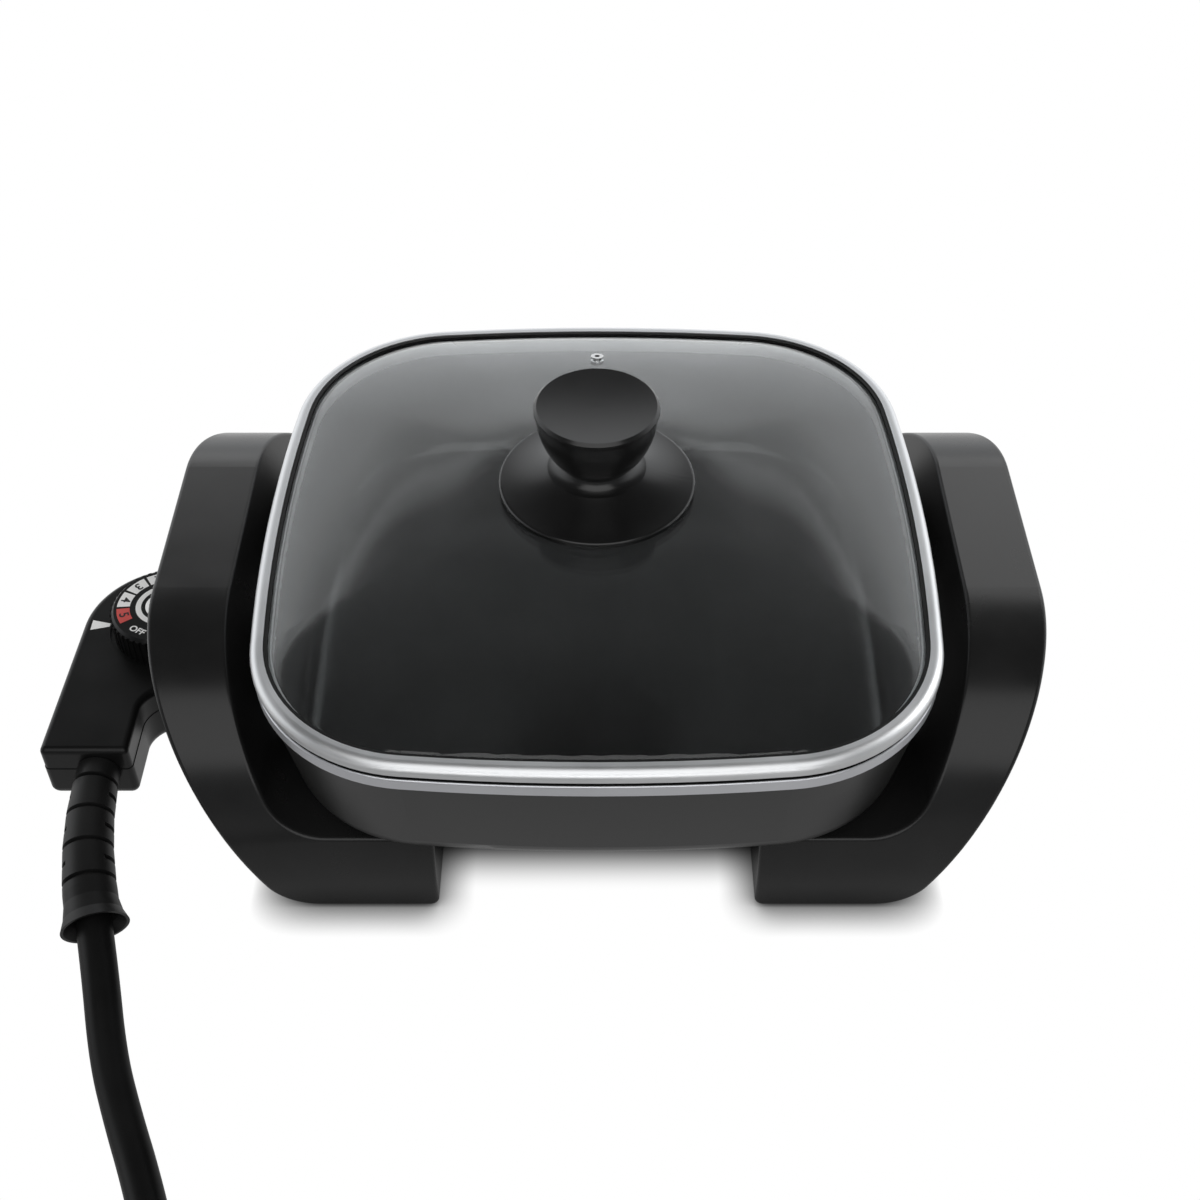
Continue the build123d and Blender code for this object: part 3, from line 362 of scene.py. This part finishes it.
# %% Lid glass
lid_glass = finish("lid_glass", (0.90, 0.93, 0.93), (0.94, 0.96, 0.96), rough=(0.0, 0.02),
                   grain=40.0, depth=0.01)
glass_shader = lid_glass.node_tree.nodes["Principled BSDF"]
glass_shader.inputs["Transmission Weight"].default_value = 1.0
glass_shader.inputs["IOR"].default_value = 1.5
wear(lid_glass, "lid_glass")
cad["lid_glass"].visible_shadow = False
print("glass on the lid")

# %% [markdown]
# ## Smooth shading
# CAD meshes are made of flat triangles. Smoothing by angle lets curved faces read as curves and
# keeps the true edges crisp.

# %% Smooth the CAD pieces
smooth_angle = math.radians(28)
for piece in cad.values():
    piece.data.shade_smooth()
    for edge in piece.data.edges:
        edge.use_edge_sharp = False
    piece.data.set_sharp_from_angle(angle=smooth_angle)
print("pieces smoothed:", len(cad))

# %% [markdown]
# ## Print on the dial
# The scale is pad printed: white windows with dark figures, a red window for the hottest setting,
# a white ring and a white word. Each figure has its head to the middle, so that it reads upright
# from outside at the pointer. Thin plates just above the dial stand for the ink.

# %% Inks
ink_white = finish("ink_white", (0.90, 0.90, 0.89), (0.95, 0.95, 0.94), rough=(0.4, 0.5),
                   grain=0.4, depth=0.002)
ink_red = finish("ink_red", (0.62, 0.06, 0.05), (0.72, 0.09, 0.08), rough=(0.4, 0.5),
                 grain=0.4, depth=0.002)
ink_black = finish("ink_black", grey(0.010), grey(0.014), rough=(0.4, 0.5), grain=0.4,
                   depth=0.002)
wear(ink_white, "dial_cap")
ink_lift, ink_thickness = 0.02, 0.06
print("inks ready")

# %% A helper for printed plates
def printed_plate(name, outline, face_height, ink, body):
    """A thin plate with this outline, as ink that stands on a face."""
    mesh = bpy.data.meshes.new(name)
    form = bmesh.new()
    height = face_height + ink_lift
    low = [form.verts.new((x * mm, y * mm, height * mm)) for x, y in outline]
    base = form.faces.new(low)
    grown = bmesh.ops.extrude_face_region(form, geom=[base])
    risen = [g for g in grown["geom"] if isinstance(g, bmesh.types.BMVert)]
    bmesh.ops.translate(form, verts=risen, vec=(0, 0, ink_thickness * mm))
    bmesh.ops.recalc_face_normals(form, faces=form.faces)
    form.to_mesh(mesh)
    form.free()
    mesh.materials.append(ink)
    plate = add_object(name, mesh)
    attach(plate, body)


print("plate helper ready")

# %% Helpers for places on the dial
dial_middle, dial_top = Vector((-209.0, 0.0, 0.0)), 67.0


def dial_turn(degrees):
    """An angle of the plan. Zero degrees is at the pointer, and the angle grows clockwise."""
    return math.radians(180.0 - degrees)


def on_dial(radius, degrees):
    """A point of the dial's face."""
    turn = dial_turn(degrees)
    return (dial_middle.x + radius * math.cos(turn), dial_middle.y + radius * math.sin(turn))


def arc_window(inner, outer, start, end, steps=8):
    """An outline between two radii and two angles."""
    angles = [start + (end - start) * i / steps for i in range(steps + 1)]
    return [on_dial(outer, a) for a in angles] + [on_dial(inner, a) for a in reversed(angles)]


print("dial helpers ready")

# %% Windows and ring
figures = {"5": -21.5, "4": 9.5, "3": 40.5, "2": 71.5, "1": 102.5}
window_half, window_inner, window_outer = 13.6, 16.0, 22.2
for figure, degrees in figures.items():
    ink = ink_red if figure == "5" else ink_white
    outline = arc_window(window_inner, window_outer, degrees - window_half, degrees + window_half)
    printed_plate("window_" + figure, outline, dial_top, ink, "dial")
ring_inner, ring_outer = 10.6, 13.2
for half in range(2):
    outline = arc_window(ring_inner, ring_outer, 180.0 * half, 180.0 * half + 180.0, steps=32)
    printed_plate("ring_half_" + str(half), outline, dial_top, ink_white, "dial")
print("windows on the dial:", len(figures))

# %% Figures and word
letter_growth = 0.12


def printed_word(name, text, size, radius, degrees, height, ink):
    """Lettering on the dial with its head to the middle."""
    letters = bpy.data.curves.new(name, "FONT")
    letters.body = text
    letters.size = size * mm
    letters.align_x, letters.align_y = "CENTER", "CENTER"
    letters.extrude = ink_thickness / 2 * mm
    letters.offset = letter_growth * mm
    sketch = add_object(name + "_sketch", letters)
    bpy.context.view_layer.update()
    depsgraph = bpy.context.evaluated_depsgraph_get()
    mesh = bpy.data.meshes.new_from_object(sketch.evaluated_get(depsgraph))
    bpy.data.objects.remove(sketch, do_unlink=True)
    mesh.materials.clear()
    mesh.materials.append(ink)
    x, y = on_dial(radius, degrees)
    turn = dial_turn(degrees) + math.pi / 2
    place = Matrix.Translation(Vector((x, y, height)) * mm)
    mesh.transform(place @ Matrix.Rotation(turn, 4, "Z"))
    word = add_object(name, mesh)
    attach(word, "dial")


figure_size, figure_radius = 6.4, 19.1
word_size, word_radius, word_degrees = 4.8, 19.6, -62.0
word_height = dial_top + ink_lift + ink_thickness
figure_height = word_height + ink_thickness
for figure, degrees in figures.items():
    printed_word("figure_" + figure, figure, figure_size, figure_radius, degrees, figure_height,
                 ink_black)
printed_word("word_off", "OFF", word_size, word_radius, word_degrees, word_height, ink_white)
print("lettering on the dial: figures and OFF")

# %% [markdown]
# ## The pointer
# A white wedge on the control's top points at the setting. It is broad outside and narrow at the
# dial.

# %% Pointer
control_top = 53.0
pointer_outline = [(-246.6, -3.3), (-237.6, -1.0), (-237.6, 1.0), (-246.6, 3.3)]
printed_plate("pointer", pointer_outline, control_top, ink_white, "control")
print("pointer on the control")

# %% [markdown]
# ## Kinds of ray
# Cycles can tell a ray that comes straight from the camera from one that comes off gloss, through
# glass or off a dull surface. The table and the room use this, as a studio uses cards and flags.

# %% Helpers for numbers and kinds of ray
def number(tree, operation, *values):
    """A math node. Each of its inputs is a socket or a plain number."""
    node = tree.nodes.new("ShaderNodeMath")
    node.operation = operation
    for socket, value in zip(node.inputs, values):
        if isinstance(value, float):
            socket.default_value = value
        else:
            tree.links.new(value, socket)
    return node.outputs["Value"]


def axes(tree, vector):
    """The three parts of a vector, by name."""
    split = tree.nodes.new("ShaderNodeSeparateXYZ")
    tree.links.new(vector, split.inputs["Vector"])
    return split.outputs


def ray_kind(tree, *kinds):
    """One for a ray of any of these kinds, else zero."""
    path = tree.nodes.new("ShaderNodeLightPath")
    found = path.outputs[kinds[0]]
    for kind in kinds[1:]:
        found = number(tree, "MAXIMUM", found, path.outputs[kind])
    return found


def mix(tree, share, first, second):
    """The first shader where the share is zero, and the second where it is one."""
    node = tree.nodes.new("ShaderNodeMixShader")
    for socket, value in zip(node.inputs, (share, first, second)):
        tree.links.new(value, socket)
    return node.outputs["Shader"]


print("ray helpers ready")

# %% [markdown]
# ## Table
# The photograph's ground is plain white, with shade only at the feet and under the pan. To the
# camera the table shines white, times that shade. Gloss sees it so too, but dimmer in front, where
# the photographer's side of the room is dark. To dull surfaces it is a plain pale board. An ambient
# occlusion node finds the ground that a foot touches, and a soft square that follows the pan's plan
# stands for the shade under it. Past the feet the ground stays clear, up to the put-away cord.

# %% Shade on the table
table_paint = bpy.data.materials.new("table_paint")
table_paint.use_nodes = True
tree = table_paint.node_tree
contact_reach, contact_power = 0.0165, 2.1
pan_shade_edge = (0.090, 0.119)
feet_shade_edge = (0.225, 0.265)
coil_shade_edge = (-0.30, -0.27)
sky = tree.nodes.new("ShaderNodeAmbientOcclusion")
sky.samples = 32
sky.inputs["Distance"].default_value = contact_reach
contact = number(tree, "POWER", sky.outputs["AO"], contact_power)
spot = tree.nodes.new("ShaderNodeTexCoord")
away = tree.nodes.new("ShaderNodeVectorMath")
away.operation = "LENGTH"
tree.links.new(spot.outputs["Object"], away.inputs[0])
plan = axes(tree, spot.outputs["Object"])
aside, along = (number(tree, "ABSOLUTE", plan[axis]) for axis in ("X", "Y"))
under_pan = span(tree, number(tree, "MAXIMUM", aside, along), *pan_shade_edge, smooth=True)
past_feet = span(tree, away.outputs["Value"], *feet_shade_edge, smooth=True)
before_coil = span(tree, plan["Y"], *coil_shade_edge, smooth=True)
clear = number(tree, "MULTIPLY", past_feet, before_coil)
whiteness = number(tree, "MAXIMUM", number(tree, "MULTIPLY", contact, under_pan), clear)
print("shade ready")

# %% Paint of the table
front_edge, front_glow = (-0.2, 0.1), 0.4
board = tree.nodes["Principled BSDF"]
board.inputs["Base Color"].default_value = (*grey(0.9), 1.0)
board.inputs["Roughness"].default_value = 0.9
board.inputs["Specular IOR Level"].default_value = 0.1
shine = tree.nodes.new("ShaderNodeEmission")
tree.links.new(whiteness, shine.inputs["Color"])
dimmer = span(tree, plan["Y"], *front_edge, low=front_glow, smooth=True)
straight = ray_kind(tree, "Is Camera Ray", "Is Transmission Ray")
tree.links.new(number(tree, "MAXIMUM", straight, dimmer), shine.inputs["Strength"])
bright = ray_kind(tree, "Is Camera Ray", "Is Transmission Ray", "Is Glossy Ray")
paint = mix(tree, bright, board.outputs["BSDF"], shine.outputs["Emission"])
tree.links.new(paint, tree.nodes["Material Output"].inputs["Surface"])
print("paint ready")

# %% Table
table_reach, table_gap = 6.0, 0.0002
corners = [(table_reach * x, table_reach * y, 0) for x, y in ((-1, -1), (1, -1), (1, 1), (-1, 1))]
table_mesh = bpy.data.meshes.new("table")
table_mesh.from_pydata(corners, [], [(0, 1, 2, 3)])
table_mesh.materials.append(table_paint)
table = add_object("table", table_mesh)
table.location.z = -table_gap
print("table set")

# %% [markdown]
# ## The room
# The world is soft light at a plain level. To the camera it is white. In a reflection it is pale
# near the horizon at the back, like a studio's backdrop, and dark overhead and in front, like its
# ceiling and the space behind the camera. Its upper edge is a little lower at the sides. That is
# what makes the glass bright at the back and clear at the front.

# %% Backdrop
world = bpy.data.worlds.new("studio")
bpy.context.scene.world = world
world.use_nodes = True
tree = world.node_tree
tree.nodes.clear()
way = tree.nodes.new("ShaderNodeTexCoord")
heading = axes(tree, way.outputs["Generated"])
heights = tree.nodes.new("ShaderNodeValToRGB")
ramp = heights.color_ramp.elements
ramp[0].position, ramp[1].position = 0.42, 0.97
ramp[0].color, ramp[1].color = (0.96, 0.98, 1.0, 1.0), (*grey(0.03), 1.0)
cool_tint = (0.97, 0.985, 1.0)
tones = ((0.52, 0.94), (0.57, 0.76), (0.60, 0.62), (0.612, 0.74), (0.624, 0.58), (0.64, 0.30),
         (0.67, 0.18), (0.82, 0.09))
for height, level in tones:
    ramp.new(height).color = (*(level * part for part in cool_tint), 1.0)
side_slant = 0.12
sideways = number(tree, "ABSOLUTE", heading["X"])
slanted = number(tree, "MULTIPLY_ADD", sideways, side_slant, heading["Z"])
tree.links.new(slanted, heights.inputs["Fac"])
front_heading, back_heading, front_level, back_level = -0.5, 0.15, 0.2, 1.25
backdrop = span(tree, heading["Y"], front_heading, back_heading, front_level, back_level)
print("backdrop ready, tones:", len(ramp))

# %% Light of the world
soft_level = 0.75
soft, mirrored, shown = (tree.nodes.new("ShaderNodeBackground") for _ in range(3))
soft.inputs["Color"].default_value = (*grey(1.0), 1.0)
soft.inputs["Strength"].default_value = soft_level
shown.inputs["Color"].default_value = (*grey(1.0), 1.0)
tree.links.new(heights.outputs["Color"], mirrored.inputs["Color"])
tree.links.new(backdrop, mirrored.inputs["Strength"])
reflected = ray_kind(tree, "Is Glossy Ray", "Is Transmission Ray")
light = mix(tree, reflected, soft.outputs["Background"], mirrored.outputs["Background"])
room = mix(tree, ray_kind(tree, "Is Camera Ray"), light, shown.outputs["Background"])
output = tree.nodes.new("ShaderNodeOutputWorld")
tree.links.new(room, output.inputs["Surface"])
print("world lit")

# %% [markdown]
# ## Softboxes
# Black plastic shows its shape through what it reflects. A broad box behind and above the camera
# draws the band along the handles' front sweep, and one behind each handle lights its top. Three
# more draw the highlights on the ring, and one the light line at the back of the pan's floor.
# Studio lamps are flagged with black cards so that each lights only some of the set. Light linking
# does the same here.

# %% Lamps
def softbox(name, place, aim, width, height, power, lights):
    """A soft lamp that lights only the pieces named."""
    lamp_data = bpy.data.lights.new(name, "AREA")
    lamp_data.shape = "RECTANGLE"
    lamp_data.size, lamp_data.size_y = width, height
    lamp_data.energy = power
    lamp = add_object(name, lamp_data)
    lamp.location = place
    lamp.rotation_euler = (Vector(aim) - Vector(place)).to_track_quat("-Z", "Y").to_euler()
    receivers = bpy.data.collections.new(name + "_lights")
    for piece in lights:
        receivers.objects.link(piece)
    lamp.light_linking.receiver_collection = receivers


softbox("key_front", (0.0, -1.25, 1.40), (0.0, -0.05, 0.1), width=2.2, height=1.4, power=14.0,
        lights=list(cad.values()) + [cord])
softbox("right_back", (0.75, 1.09, 1.14), (0.19, 0.0, 0.11), width=1.0, height=0.75, power=3.8,
        lights=[cad["right_handle"]])
softbox("left_back", (-0.30, 1.28, 0.85), (-0.19, 0.0, 0.11), width=1.6, height=0.5, power=2.6,
        lights=[cad["left_handle"]])
softbox("right_side", (1.6, 0.3, 1.0), (0.15, 0.0, 0.12), width=0.8, height=1.2, power=10.0,
        lights=[cad["lid_ring"]])
softbox("ring_front", (0.0, -0.5, 1.7), (0.0, -0.15, 0.12), width=1.2, height=0.5, power=1.3,
        lights=[cad["lid_ring"]])
softbox("ring_low", (0.0, -1.8, 0.30), (0.0, -0.15, 0.11), width=1.6, height=0.6, power=6.5,
        lights=[cad["lid_ring"]])
softbox("pan_back", (0.0, 0.57, 1.48), (0.0, 0.12, 0.055), width=0.9, height=0.6, power=2.0,
        lights=[cad["pan"]])

# %% [markdown]
# The Standard view shows each colour as it is written.

# %% Finish
bpy.context.scene.view_settings.view_transform = "Standard"
bpy.context.view_layer.update()
